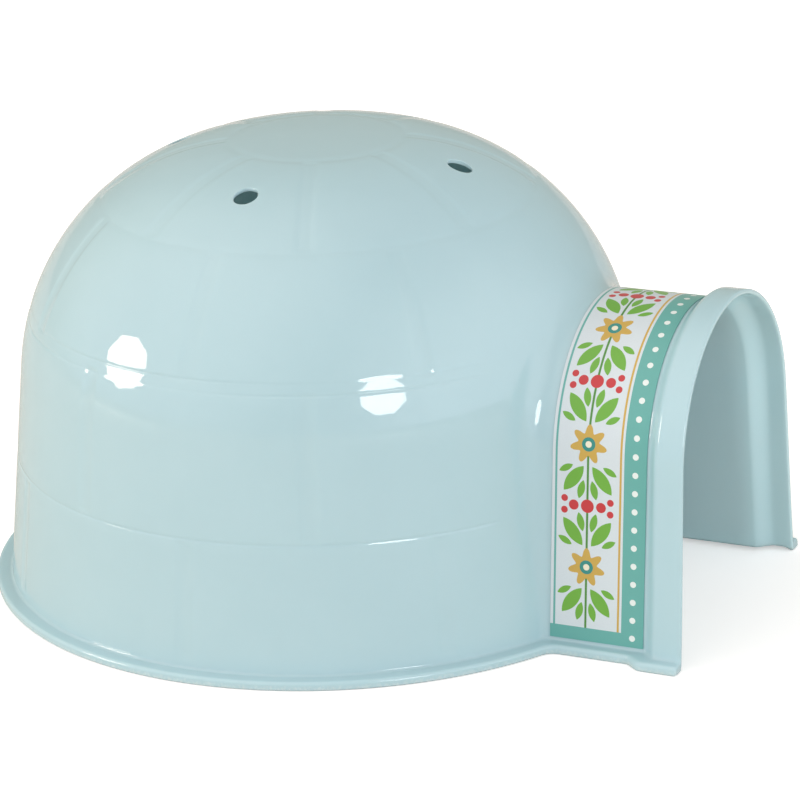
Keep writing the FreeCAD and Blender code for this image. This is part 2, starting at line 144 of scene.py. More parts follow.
def corner(before, at, after, radius, steps=9):
    """A rounded corner of an outline that runs before - at - after, with the solid on its right."""
    before, at, after = (np.array(p, float) for p in (before, at, after))
    d0 = (at - before) / np.linalg.norm(at - before)
    d1 = (after - at) / np.linalg.norm(after - at)
    left0 = np.array([-d0[1], d0[0]])
    turn = math.atan2(d0[0] * d1[1] - d0[1] * d1[0], d0 @ d1)
    start = at - d0 * radius * math.tan(abs(turn) / 2)
    side = math.copysign(1.0, turn)
    a = math.atan2(left0[1], left0[0]) + np.linspace(0, turn, steps)
    normal = np.stack([np.cos(a), np.sin(a)], 1)
    return np.hstack([start + side * radius * left0 - side * radius * normal, normal])


def dome_arcs(inset):
    """Centre, radius and turn of the shoulder arc that joins the drafted wall to the crown arc, moved in by inset."""
    foot = WALL_FOOT - inset / math.cos(DRAFT)
    shoulder, crown, top = SHOULDER - inset, CROWN - inset, HEIGHT - inset
    slope = math.tan(DRAFT)
    reach = foot - shoulder / math.cos(DRAFT)
    low = top - crown
    half = (reach * slope + low) / (1 + slope**2)
    product = (reach**2 + low**2 - (crown - shoulder) ** 2) / (1 + slope**2)
    z = half + math.sqrt(half**2 - product)
    centre = (reach - z * slope, z)
    return foot, centre, shoulder, crown, low, math.atan2(z - low, centre[0])


def shell_outline():
    """The dome's section from the outer apex over the shoulder, wall and rim and back up inside to the inner apex.

    Arcs and rounded corners are joined by straight runs. Gives rows (distance, r, z, nr, nz) and named distances."""
    foot, centre, shoulder, crown, low, turn = dome_arcs(0)
    inner_foot, inner_centre, inner_shoulder, inner_crown, inner_low, inner_turn = dome_arcs(WALL)
    slope = math.tan(DRAFT)
    lip = RIM_RADIUS - RIM_LIP
    outward = np.array([math.cos(DRAFT), math.sin(DRAFT)])
    tangent = np.array(centre) + shoulder * outward
    inner_tangent = np.array(inner_centre) + inner_shoulder * outward
    p = [tangent, (foot - RIM_HEIGHT * slope, RIM_HEIGHT), (RIM_RADIUS, RIM_HEIGHT), (RIM_RADIUS, 0), (lip, 0),
         (lip, RIM_RECESS), (inner_foot - RIM_RECESS * slope, RIM_RECESS), inner_tangent]
    few, many = 60, 700
    pieces = [bend((0, low), crown, math.pi / 2, turn, few), bend(centre, shoulder, turn, DRAFT, many)]
    pieces += [corner(p[i], p[i + 1], p[i + 2], radius) for i, radius in enumerate(RIM_ROUNDS)]
    pieces += [bend(inner_centre, -inner_shoulder, DRAFT, inner_turn, many),
               bend((0, inner_low), -inner_crown, inner_turn, math.pi / 2, few)]
    rows = np.vstack(pieces)
    step = np.hypot(*np.diff(rows[:, :2], axis=0).T)
    keep = np.concatenate([[True], step > 1e-6])
    rows = rows[keep]
    distance = np.concatenate([[0], np.cumsum(np.hypot(*np.diff(rows[:, :2], axis=0).T))])
    counts = np.array([len(piece) for piece in pieces])
    ends = np.cumsum(counts) - 1
    stops = distance[np.cumsum(keep)[ends] - 1]
    starts = distance[np.cumsum(keep)[ends - counts + 1] - 1]
    names = dict(crown_end=stops[0], shoulder_end=stops[1], end=distance[-1])
    for number, name in enumerate(("root", "edge", "heel", "lip", "under", "inner_root"), start=2):
        names[name], names[name + "_end"] = starts[number], stops[number]
    return np.column_stack([distance, rows]), names


OUTLINE, AT = shell_outline()


def section(distance):
    """r, z, nr and nz at distances along the shell's outline."""
    return [np.interp(distance, OUTLINE[:, 0], OUTLINE[:, k]) for k in (1, 2, 3, 4)]


def distance_at(column, value, first, last):
    """The distance between two places of the outline at which r (column 1) or z (column 2) has a value."""
    part = OUTLINE[(OUTLINE[:, 0] >= first - 1e-9) & (OUTLINE[:, 0] <= last + 1e-9)]
    order = np.argsort(part[:, column])
    return np.interp(value, part[order, column], part[order, 0])


def on_shoulder(degrees):
    """The distance at which the shoulder arc has turned to an angle about its centre."""
    return AT["shoulder_end"] - SHOULDER * (math.radians(degrees) - DRAFT)


RINGS = [on_shoulder(angle) for angle in RING_ANGLES]
RINGS.append(float(distance_at(2, LOWER_RING_Z, AT["shoulder_end"], AT["root"])))


def relief(theta, distance):
    """Height of the block joints over the smooth dome: ring lines, and soft upright joints staggered by course.

    A ring is a bell-shaped line in a shallow wider dip, but the second lowest is a flat dip whose upper and lower
    edges are sharpened in turn round the dome; an upright joint is a flat dip with soft sides."""
    turn = np.degrees(theta)
    clear_of_mouth = 1 - fall((np.abs(turn) - RELIEF_STOP) / RELIEF_FADE)
    height = np.zeros(np.broadcast(theta, distance).shape)
    for number, ring in enumerate(RINGS):
        u = distance - ring
        if RING_LINES[number] is None:
            low_share = 0.5 + 0.5 * np.sin(4 * (theta + EDGE_TURN))
            upper, lower = (np.exp(-(((u + place) / EDGE_HALF) ** 2)) for place in (EDGE_PLACE, -EDGE_PLACE))
            edges = (1 - low_share) * upper + low_share * lower
            line = -FLAT_DEPTH * fall((np.abs(u) - FLAT_HALF) / FLAT_HALF) - EDGE_DEPTH * edges
        else:
            depth, half = RING_LINES[number]
            line = -depth * np.exp(-((u / half) ** 2)) - DIP_DEPTH * fall(np.abs(u) / DIP_HALF)
        height = height + line * (clear_of_mouth if number > 1 else 1.0)
    ends = RINGS + [AT["root"] - JOINT_FOOT]
    r = section(distance)[0]
    for course, (start, end) in enumerate(zip(ends, ends[1:])):
        off = (turn + (0 if course % 2 else JOINT_PITCH / 2)) % JOINT_PITCH
        off = np.radians(np.minimum(off, JOINT_PITCH - off)) * r
        groove = fall((off - JOINT_HALF) / JOINT_SIDE)
        inside = (1 - fall((distance - start) / JOINT_END)) * (1 - fall((end - distance) / JOINT_END))
        height = height - (JOINT_DEPTH * clear_of_mouth if course > 0 else TOP_JOINT_DEPTH) * groove * inside
    return height


def dome_surface(theta, distance):
    """Points and normals of the shell round its axis: the outline turned by theta from -Y, lifted by the relief.

    The normal leans back by the relief's slope along and round the outline."""
    r, z, nr, nz = section(distance)
    sine, cosine = np.sin(theta), np.cos(theta)
    outside = distance < AT["root"]
    lift = np.where(outside, relief(theta, distance), 0.0)
    small, least_r = 0.02, 5.0
    along = np.where(outside, (relief(theta, distance + small) - relief(theta, distance - small)) / (2 * small), 0.0)
    tiny = small / np.maximum(r, least_r)
    around = np.where(outside, (relief(theta + tiny, distance) - relief(theta - tiny, distance)) / (2 * small), 0.0)
    out = np.stack([sine, -cosine, np.zeros_like(sine)], -1)
    side = np.stack([cosine, sine, np.zeros_like(sine)], -1)
    up = np.array([0.0, 0.0, 1.0])
    normal = nr[..., None] * out + nz[..., None] * up
    tangent = nz[..., None] * out - nr[..., None] * up
    point = r[..., None] * out + z[..., None] * up + lift[..., None] * normal
    normal = normal - along[..., None] * tangent - around[..., None] * side
    return point, normal / np.linalg.norm(normal, axis=-1, keepdims=True)


# the tunnel's arch: two drafted legs tangent to a crown arc, measured by the length along it from the right foot
ARCH_RADIUS = ((TUNNEL_HALF * math.cos(TUNNEL_DRAFT) - TUNNEL_TOP * math.sin(TUNNEL_DRAFT))
               / (1 - math.sin(TUNNEL_DRAFT)))
ARCH_CENTRE = TUNNEL_TOP - ARCH_RADIUS
LEG_TOP = ARCH_CENTRE + ARCH_RADIUS * math.sin(TUNNEL_DRAFT)
LEG = LEG_TOP / math.cos(TUNNEL_DRAFT)
ARCH_HALF = LEG + ARCH_RADIUS * (math.pi / 2 - TUNNEL_DRAFT)


def arch(length, growth):
    """x and z of the right half of the arch, moved out by growth: legs move sideways and the crown arc radially."""
    angle = TUNNEL_DRAFT + (length - LEG) / ARCH_RADIUS
    on_leg = length < LEG
    z_leg = length * math.cos(TUNNEL_DRAFT)
    x = np.where(on_leg, TUNNEL_HALF - z_leg * math.tan(TUNNEL_DRAFT) + growth / math.cos(TUNNEL_DRAFT),
                 (ARCH_RADIUS + growth) * np.cos(angle))
    z = np.where(on_leg, z_leg, ARCH_CENTRE + (ARCH_RADIUS + growth) * np.sin(angle))
    return x, z


def mouth_edge(inset, first, last, spread):
    """Where the tunnel's arch meets the dome, and that line moved out over the dome, for a fine row of arch lengths.

    The meeting line is offset by spread, at right angles to itself, in distances measured on the dome."""
    samples = 3001
    length = np.linspace(0, ARCH_HALF, samples)
    x, z = arch(length, -inset)
    lowest = section(first if inset else last)[1]
    below = np.maximum(lowest - z, 0)
    distance = distance_at(2, np.maximum(z, lowest), first, last)
    r = section(distance)[0] + below * math.tan(DRAFT)
    distance = distance + below / math.cos(DRAFT) * (-1 if inset else 1)
    theta = np.arcsin(np.clip(x / r, -1, 1))
    du, dv = r * np.gradient(theta, length), np.gradient(distance, length)
    if inset:
        dv = -dv
    size = np.hypot(du, dv)
    c = spread(z)
    theta_out = theta - c * dv / size / r
    distance_out = distance + c * du / size * (-1 if inset else 1)
    theta_out[-1] = 0.0
    return length, theta_out, distance_out


def shell_rows():
    """Distances of the dome grid's rows, finer at the ring lines, vents and rim, and the indices of special rows.

    The rows are graded through pairs of a place and the spacing of the rows there."""
    a = AT
    vent = float(distance_at(1, VENT_CIRCLE, 0, a["shoulder_end"]))
    vent_in = float(distance_at(1, VENT_CIRCLE, a["inner_root_end"], a["end"]))
    mouth = float(distance_at(2, MOUTH_CORNER_Z, a["crown_end"], a["shoulder_end"]))

    def ring(place, half=1.3):
        """Fine rows across a ring line and coarser ones beside it."""
        return [(place - half - 3.2, 1.6), (place - half, 0.3), (place + half, 0.3), (place + half + 3.2, 1.6)]

    def hole(place, reach, coarse):
        """Even rows across a vent's square of cells and coarser ones beside it."""
        return [(place - reach, coarse), (place - VENT_ROW, 0.85), (place + VENT_ROW, 0.85), (place + reach, coarse)]

    top = graded([(1.6, 2.4)] + ring(RINGS[0]) + hole(vent, 10, 1.6) + ring(RINGS[1]) + [(RINGS[1] + 20, 3.6)]
                 + ring(RINGS[2], 3.0) + [(mouth, 1.8)])
    wall = graded([(mouth, 1.8), (mouth + 14, 3.4)] + ring(RINGS[3]) + [(RINGS[3] + 18, 3.6), (a["root"], 0.9)])[1:]
    rim = graded([(a["root"], 0.5), (a["root_end"], 0.5), ((a["root_end"] + a["edge"]) / 2, 1.1), (a["edge"], 0.6),
                  (a["edge_end"], 0.45), (a["heel"], 0.7), (a["heel_end"], 0.22),
                  ((a["heel_end"] + a["lip"]) / 2, 0.9)])[1:]
    middle = rim[-1]
    back = graded([(middle, 0.9), (a["lip"], 0.3), (a["lip_end"], 0.3), (a["under"], 0.5), (a["under_end"], 0.3),
                   (a["inner_root"], 1.0), (a["inner_root_end"], 0.3)])[1:]
    # the inner rim has as many rows as the outer one, and the inner wall's rows have the outer rows' heights
    back = np.interp(np.linspace(0, 1, len(rim) + 1)[1:], np.linspace(0, 1, len(back) + 1), np.r_[middle, back])
    heights = section(np.r_[mouth, wall[:-1]])[1]
    inner_z = np.interp(heights, [section(a["root"])[1], MOUTH_CORNER_Z],
                        [section(a["inner_root_end"])[1], MOUTH_CORNER_Z - 1.0])
    inner = distance_at(2, inner_z, a["inner_root_end"], a["end"])[::-1]
    mouth_in = inner[-1]
    crown = graded([(mouth_in, 3.0)] + hole(vent_in, 12, 4.0) + [(a["end"] - 2.0, 4.0)])[1:]
    rows = np.concatenate([top, wall, rim, back, inner, crown])

    def hole_rows(place):
        """Indices of the rows at the two ends of a vent's square of cells."""
        return [int(np.argmin(np.abs(rows - edge))) for edge in (place - VENT_ROW, place + VENT_ROW)]

    last_rows = np.cumsum([len(part) for part in (top, wall, rim, back, inner)]) - 1
    special = dict(zip(("mouth", "root", "middle", "inner_root", "mouth_in"), last_rows.tolist()))
    special.update(vent=hole_rows(vent), vent_in=hole_rows(vent_in))
    return rows, special


def shell_columns():
    """Angles of the dome grid's columns round the axis, finer at the upright joints, from -180 to 180 degrees."""
    offsets = np.array([0, 1.1, 1.5, 1.9, 2.6, VENT_COLUMN, 5.4, 7.3, 9.25])
    step = JOINT_PITCH / 2
    pattern = np.concatenate([-offsets[:0:-1], offsets, [step / 2]])
    angles = (np.arange(int(360 / step))[:, None] * step - 180.0 + step / 2 + pattern[None, :]).ravel()
    return np.radians(np.sort((angles + 180.0 - step / 2) % 360.0 - 180.0))


def vent_shift(theta, r, turn, radius):
    """Moves grid points near a vent so that the square of cells in it becomes a circle.

    Points on a square ring about the vent move to a circle of as many radii, and the move fades out by 2.3 radii."""
    half = VENT_COLUMN * math.pi / 180 * VENT_CIRCLE
    a = (theta - turn) * VENT_CIRCLE
    b = r - VENT_CIRCLE
    ring = np.maximum(np.abs(a), np.abs(b)) / half
    size = np.maximum(np.hypot(a, b), 1e-9)
    weight = fall((ring - 1) / VENT_FADE)
    scale = 1 + weight * (radius * ring / size - 1)
    a, b = a * scale, b * scale
    return turn + np.arctan2(a, VENT_CIRCLE + b), np.hypot(a, VENT_CIRCLE + b), weight > 0


def shell_mesh():
    """Vertices, normals and faces of the whole moulding as one closed surface.

    The dome is a grid of columns round the axis and rows along the outline. A block of its cells is left out at the
    mouth and at each vent, and the grid is drawn to the edge of each opening. The tunnel is a closed section loop
    that starts on the mouth's edge and is carried to the front: curved blend, collar's step, rounded front."""
    rows, at = shell_rows()
    columns = shell_columns()
    theta, distance = np.meshgrid(columns, rows)
    n_rows, n_columns = theta.shape

    # mouth: block of columns left..right, rows mouth..mouth_in
    right = int(np.argmin(np.abs(columns - MOUTH_TURN)))
    middle = int(np.argmin(np.abs(columns)))
    left = 2 * middle - right
    half_turn = columns[right]

    def swell(z):
        """Grows from 0 to 1 between the heights where the blend is smallest and largest."""
        return fall((SWELL_HIGH - z) / (SWELL_HIGH - SWELL_LOW))

    edge_out = mouth_edge(0.0, 0, AT["root"], lambda z: BLEND_DOME + BLEND_DOME_SWELL * swell(z))
    edge_in = mouth_edge(WALL, AT["inner_root_end"], AT["end"], lambda z: BLEND_INNER)

    side_rows = np.arange(at["mouth"], at["mouth_in"] + 1)
    side_distance = rows[side_rows]
    r_side, z_side = section(side_distance)[:2]
    # arch length and angle at each row of the mouth's side: on the outer wall, round the rim, on the inner wall
    on_outer = side_rows <= at["root"]
    on_inner = side_rows >= at["inner_root"]
    length_outer = np.interp(side_distance, edge_out[2][::-1], edge_out[0][::-1])
    length_inner = np.interp(side_distance, edge_in[2], edge_in[0])
    foot_r = section(AT["root"])[0]
    out_from_wall = r_side - foot_r
    rim_offset = np.where(out_from_wall > 0, out_from_wall * TUNNEL_RIM / RIM_WIDTH, out_from_wall)
    rim_x = arch(z_side / math.cos(TUNNEL_DRAFT), 0.0)[0] + rim_offset
    inner_share = fall((AT["inner_root"] - side_distance) / (AT["inner_root"] - AT["under_end"]))
    rim_spread = np.interp(side_distance, [AT["root"], AT["root_end"], AT["lip"], AT["inner_root_end"]],
                           [BLEND_DOME, BLEND_RIM, BLEND_RIM, BLEND_INNER])
    rim_theta = np.arcsin(rim_x / r_side) + rim_spread / r_side
    side_theta = np.where(on_outer, np.interp(length_outer, edge_out[0], edge_out[1]),
                          np.where(on_inner, np.interp(length_inner, edge_in[0], edge_in[1]), rim_theta))

    def across(edge, start):
        """Arch lengths, angles and distances over the mouth's top, spread by the columns' own spacing."""
        keep = edge[0] >= start
        length, turn, place = (np.r_[np.interp(start, edge[0], part), part[keep]] for part in edge)
        r = section(place)[0]
        run = np.concatenate([[0], np.cumsum(np.hypot(np.diff(turn) * r[1:], np.diff(place)))])
        share = 1 - np.abs(columns[left:right + 1]) / half_turn
        sign = np.sign(columns[left:right + 1])
        return [np.interp(share, run / run[-1], part) for part in (length, turn, place)] + [sign]

    top_out = across(edge_out, length_outer[0])
    top_in = across(edge_in, length_inner[-1])

    # draw the grid to the mouth's edge, with moves that fade out sideways and upwards
    beyond = np.maximum(np.abs(columns) - half_turn, 0) / FADE_TURN
    sideways = fall(beyond)
    sign = np.sign(columns)
    shift_side = np.interp(np.arange(n_rows), side_rows, side_theta - half_turn)
    fade_rows = np.ones(n_rows)
    fade_rows[:at["mouth"]] = fall((rows[at["mouth"]] - rows[:at["mouth"]]) / FADE_RUN)
    fade_rows[at["mouth_in"]:] = fall((rows[at["mouth_in"]:] - rows[at["mouth_in"]]) / FADE_RUN)
    outside = np.abs(columns) >= half_turn - 1e-9
    move = (shift_side * fade_rows)[:, None] * (sideways * sign * outside)[None, :]
    theta = theta + move
    inside = slice(left, right + 1)
    outer_part, inner_part = slice(0, at["mouth"] + 1), slice(at["mouth_in"], n_rows)
    for top, row, part in ((top_out, at["mouth"], outer_part), (top_in, at["mouth_in"], inner_part)):
        d_theta = top[1] * top[3] - columns[inside]
        d_place = top[2] - rows[row]
        theta[part, inside] = columns[inside] + fade_rows[part, None] * d_theta
        distance[part, inside] = rows[part, None] + fade_rows[part, None] * d_place

    # vents: draw the grid to circles; the rear one lies across the grid's seam
    r = section(distance)[0]
    zones = ((VENT_RADIUS + VENT_EDGE_OUT, 0.0, AT["shoulder_end"]),
             (VENT_RADIUS + VENT_EDGE_IN, AT["inner_root_end"], AT["end"]))
    for turn in np.radians([*VENT_TURNS, 180.0]):
        for radius, first, last in zones:
            zone = (distance > first) & (distance < last)
            moved_theta, moved_r, touched = vent_shift(theta, r, turn, radius)
            touched &= zone
            theta = np.where(touched, moved_theta, theta)
            distance = np.where(touched, distance_at(1, moved_r, first, last), distance)

    points, normals = dome_surface(theta, distance)
    ids = np.arange(n_rows * n_columns).reshape(n_rows, n_columns)
    wrap = np.roll(ids, -1, axis=1)
    quads = np.stack([ids[:-1], ids[1:], wrap[1:], wrap[:-1]], -1)
    keep = np.ones(quads.shape[:2], bool)
    keep[at["mouth"]:at["mouth_in"], left:right] = False
    # columns from a vent's middle to its edge
    vent_half = 5
    vent_columns = [int(np.argmin(np.abs(columns - math.radians(turn)))) for turn in VENT_TURNS]
    for column in vent_columns:
        cells = np.arange(column - vent_half, column + vent_half) % n_columns
        for low, high in (at["vent"], at["vent_in"]):
            keep[np.ix_(np.arange(low, high), cells)] = False
    vertices = [points.reshape(-1, 3)]
    vertex_normals = [normals.reshape(-1, 3)]
    faces = [quads[keep]]
    used = n_rows * n_columns

    # the two poles
    poles = np.array([[0, 0, HEIGHT], [0, 0, HEIGHT - WALL]])
    vertices.append(poles)
    vertex_normals.append(np.array([[0, 0, 1.0], [0, 0, -1.0]]))
    triangles = [np.stack([np.full(n_columns, used), ids[0], wrap[0]], -1),
                 np.stack([np.full(n_columns, used + 1), wrap[-1], ids[-1]], -1)]
    used += 2

    # vent walls: a ring at each end of a round hole, joined to the outer and inner edges
    for column in vent_columns:
        cells = np.arange(column - vent_half, column + vent_half + 1) % n_columns
        loops = []
        for low, high in (at["vent"], at["vent_in"]):
            span = np.arange(low, high + 1)
            if low > at["mouth"]:
                span = span[::-1]
            loops.append(np.concatenate([ids[span[0], cells[:-1]], ids[span[:-1], cells[-1]],
                                         ids[span[-1], cells[:0:-1]], ids[span[:0:-1], cells[0]]]))
        flat = points.reshape(-1, 3)
        turn = columns[column]
        axis = VENT_CIRCLE * np.array([math.sin(turn), -math.cos(turn)])
        ring_ids = []
        for loop, lift, radius in ((loops[0], -VENT_SINK_OUT, VENT_RADIUS),
                                   (loops[1], VENT_SINK_IN, VENT_RADIUS + VENT_FLARE)):
            toward = flat[loop][:, :2] - axis
            toward = toward / np.linalg.norm(toward, axis=1, keepdims=True)
            ring = np.column_stack([axis + radius * toward, flat[loop][:, 2] + lift])
            vertices.append(ring)
            vertex_normals.append(np.column_stack([-toward, np.zeros(len(loop))]))
            ring_ids.append(used + np.arange(len(loop)))
            used += len(loop)
        chain = [loops[0], ring_ids[0], ring_ids[1], loops[1]]
        for upper, lower in zip(chain, chain[1:]):
            faces.append(np.stack([upper, lower, np.roll(lower, -1), np.roll(upper, -1)], -1))

    # tunnel: the closed loop round the mouth's edge, from the inner right corner over the outside and back
    n_side = len(side_rows)
    n_top = right - left + 1
    side_down = np.arange(n_side)
    top_across = np.arange(n_top)
    loop_ids = np.concatenate([ids[side_rows[::-1], right], ids[at["mouth"], left + 1:right][::-1],
                               ids[side_rows, left], ids[at["mouth_in"], left + 1:right]])
    kinds = np.concatenate([side_down[::-1], top_across[1:-1][::-1], side_down, top_across[1:-1]])
    part = np.repeat([0, 1, 2, 3], [n_side, n_top - 2, n_side, n_top - 2])
    is_side = part % 2 == 0

    def pick(side, outer_top, inner_top):
        """Values round the loop, from values down a side, over the outer top and over the inner top."""
        over = np.where(is_side, 0, kinds)
        return np.where(is_side, side[np.where(is_side, kinds, 0)],
                        np.where(part == 1, outer_top[over], inner_top[over]))

    zero, side_zero = np.zeros(n_top), np.zeros(n_side)
    flat_side = np.where(on_outer, 0.0, np.where(on_inner, 1.0, inner_share))
    side_length = np.where(on_outer, length_outer, np.where(on_inner, length_inner, z_side / math.cos(TUNNEL_DRAFT)))
    side_x_extra = np.where(on_outer | on_inner, 0.0, rim_offset + WALL / math.cos(TUNNEL_DRAFT) * inner_share)
    side_hand = np.where(part == 0, 1.0, -1.0)
    hand = np.where(is_side, side_hand, pick(side_zero, top_out[3], top_in[3]))
    length = pick(side_length, top_out[0], top_in[0])
    inward = pick(flat_side, zero, zero + 1)
    extra = pick(side_x_extra, zero, zero)
    flange = np.maximum(extra, 0.0) * (1 - inward)
    z_rim = pick(np.where(on_outer | on_inner, np.nan, z_side), zero * np.nan, zero * np.nan)
    crease_r = pick(r_side, zero, zero)
    under = pick((side_distance > AT["lip"]) & ~on_inner & ~on_outer, zero > 1, zero > 1)
    from_middle = np.abs(side_distance - rows[at["middle"]]) / (AT["lip"] - AT["heel_end"])
    sole = pick(np.where(z_side < SOLE_Z, SOLE_BACK - SOLE_SLOPE * from_middle, 0.0), zero, zero)

    def loop_at(growth_out, growth_in):
        """x and z round the loop for a growth of the outer and the inner arch."""
        growth = growth_out * (1 - inward) + growth_in * inward
        x, z = arch(length, growth)
        x = x + extra
        return hand * x, np.where(np.isnan(z_rim), z, z_rim)

    # where each loop point's straight run along the tunnel would meet the dome
    x0, z0 = loop_at(0.0, -WALL)
    outer_r = section(distance_at(2, z0, 0, AT["root"]))[0]
    inner_r = section(distance_at(2, z0, AT["inner_root_end"], AT["end"]))[0]
    dome_r = np.where(np.isnan(z_rim), np.where(inward > 0.5, inner_r, outer_r), crease_r)
    y0 = -np.sqrt(dome_r**2 - x0**2)
    crease = np.stack([x0, y0, z0], -1)
    start = points.reshape(-1, 3)[loop_ids]
    over_tunnel = BLEND_TUNNEL + BLEND_TUNNEL_SWELL * swell(z0)
    reach = np.where(np.isnan(z_rim), np.where(inward > 0.5, BLEND_INNER, over_tunnel), pick(rim_spread, zero, zero))
    finish = crease + np.stack([0 * reach, -reach, 0 * reach], -1)
    stations = []
    for t in np.linspace(0, 1, 9)[1:]:
        stations.append((1 - t) ** 2 * start + 2 * t * (1 - t) * crease + t**2 * finish)

    def face_path(step, low, high, turned):
        """Rows (y, growth) of a face: its S-shaped step, the collar, and the front's round, turned in or out."""
        rise = np.linspace(0, 1, 13)
        quarter = np.linspace(0, math.pi / 2, 6)
        y = FRONT_Y + FRONT_ROUND
        s_shape = np.column_stack([step[0] + (step[1] - step[0]) * rise, high + (low - high) * fall(rise)])
        collar = np.linspace(step[1], y, 6)[1:-1]
        front = np.column_stack([y - FRONT_ROUND * np.sin(quarter),
                                 high + turned * FRONT_ROUND * (1 - np.cos(quarter))])
        return np.vstack([s_shape, np.column_stack([collar, np.full(len(collar), high)]), front])

    outer_path = face_path(OUTER_STEP, 0.0, COLLAR_STEP, -1)
    inner_path = face_path(INNER_STEP, -WALL, COLLAR_STEP - WALL, 1)
    straight_end = outer_path[0, 0] * (1 - inward) + inner_path[0, 0] * inward + flange
    for share in np.linspace(0, 1, 7)[1:-1]:
        y = finish[:, 1] + share * (straight_end - finish[:, 1])
        stations.append(np.stack([x0, y, z0], -1))
    collar_back = OUTER_STEP[1]
    for (y_out, g_out), (y_in, g_in) in zip(outer_path, inner_path):
        ahead = fall((JOG_START - y_out) / JOG_RUN)
        recess = max(RECESS_LEAST, float(fall((RECESS_STOP - y_out) / RECESS_RUN)))
        x, z = loop_at(g_out, g_in)
        x = x + hand * COLLAR_BULGE * fall(np.abs(z - BULGE_Z) / BULGE_REACH) * min(1.0, g_out / BULGE_STEP)
        lean = (0.5 - g_out / COLLAR_STEP) * JOG_LEAN * flange * ahead
        y = y_out * (1 - inward) + y_in * inward + flange * ahead + lean
        y = y + sole * (1 - fall((FRONT_Y + SOLE_RUN - y_out) / SOLE_RUN))
        y = y + FRONT_LEAN * z * np.clip((collar_back - y_out) / (collar_back - FRONT_Y), 0, 1)
        dip = COLLAR_STEP - g_out if y_out < FRONT_Y + FRONT_ROUND else 0.0
        z = np.where(under, z * recess, np.where(np.isnan(z_rim), z, z * (1 - dip / RIM_HEIGHT)))
        stations.append(np.stack([x, y, z], -1))
    tunnel = np.stack([start] + stations)
    n_stations, n_loop = tunnel.shape[:2]

    def slope(values, axis, closed):
        """Direction along one axis of the tunnel's grid: both neighbours', weighted for the uneven spacing."""
        ahead = np.roll(values, -1, axis) - values
        behind = values - np.roll(values, 1, axis)
        if not closed:
            ahead[-1] = behind[-1]
            behind[0] = ahead[0]
        a = np.maximum(np.linalg.norm(ahead, axis=-1, keepdims=True), 1e-6)
        b = np.maximum(np.linalg.norm(behind, axis=-1, keepdims=True), 1e-6)
        return ahead / a * (b / (a + b)) + behind / b * (a / (a + b))

    # normals from the slopes round and along the tunnel
    tunnel_normals = np.cross(slope(tunnel, 1, True), slope(tunnel, 0, False))
    tunnel_normals /= np.maximum(np.linalg.norm(tunnel_normals, axis=-1, keepdims=True), 1e-9)
    tunnel_normals[-1] = (0.0, -1.0, 0.0)
    grid = np.vstack([loop_ids[None, :], used + np.arange((n_stations - 1) * n_loop).reshape(n_stations - 1, n_loop)])
    vertices.append(tunnel[1:].reshape(-1, 3))
    following = np.roll(grid, -1, axis=1)
    tunnel_faces = np.stack([grid[:-1], following[:-1], following[1:], grid[1:]], -1).reshape(-1, 4)
    vertex_normals.append(tunnel_normals[1:].reshape(-1, 3))
    faces.append(tunnel_faces)
    # front: a strip between the outer and the inner half of the last loop
    last = grid[-1]
    half_side = (n_side - 1) // 2
    left_middle = n_side + n_top - 2 + half_side
    outer_chain = last[half_side:left_middle + 1]
    inner_chain = np.concatenate([last[half_side::-1], last[:left_middle - 1:-1]])
    strip = np.stack([outer_chain[:-1], outer_chain[1:], inner_chain[1:], inner_chain[:-1]], -1)
    faces.append(strip[1:-1])
    triangles.append(np.array([[strip[0, 0], strip[0, 1], strip[0, 2]], [strip[-1, 0], strip[-1, 1], strip[-1, 3]]]))
    quads, triangles = np.vstack(faces), np.vstack(triangles)
    kept, places = np.unique(np.concatenate([quads.ravel(), triangles.ravel()]), return_inverse=True)
    blocks = [places[:quads.size].reshape(-1, 4), places[quads.size:].reshape(-1, 3)]
    return np.vstack(vertices)[kept], np.vstack(vertex_normals)[kept], blocks


def piece_from(name, points, normals, faces):
    """A mesh object from arrays of points (millimetres, dome frame), normals and faces of three or four corners."""
    mesh = bpy.data.meshes.new(name)
    placed = (points + np.array([0.0, DOME_AXIS_Y, 0.0])) * MM
    corners = np.concatenate([block.ravel() for block in faces])
    sizes = np.concatenate([np.full(len(block), block.shape[1]) for block in faces])
    mesh.vertices.add(len(points))
    mesh.loops.add(len(corners))
    mesh.polygons.add(len(sizes))
    mesh.vertices.foreach_set("co", placed.astype(np.float32).ravel())
    mesh.loops.foreach_set("vertex_index", corners.astype(np.int32))
    mesh.polygons.foreach_set("loop_start", (np.cumsum(sizes) - sizes).astype(np.int32))
    mesh.update(calc_edges=True)
    mesh.shade_smooth()
    if normals is not None:
        mesh.normals_split_custom_set_from_vertices(normals.tolist())
    piece = bpy.data.objects.new(name, mesh)
    bpy.context.scene.collection.objects.link(piece)
    return piece


LABEL_FOOT = LABEL_FOOT_Z / math.cos(TUNNEL_DRAFT)
LABEL_LENGTH = 2 * (ARCH_HALF - LABEL_FOOT)


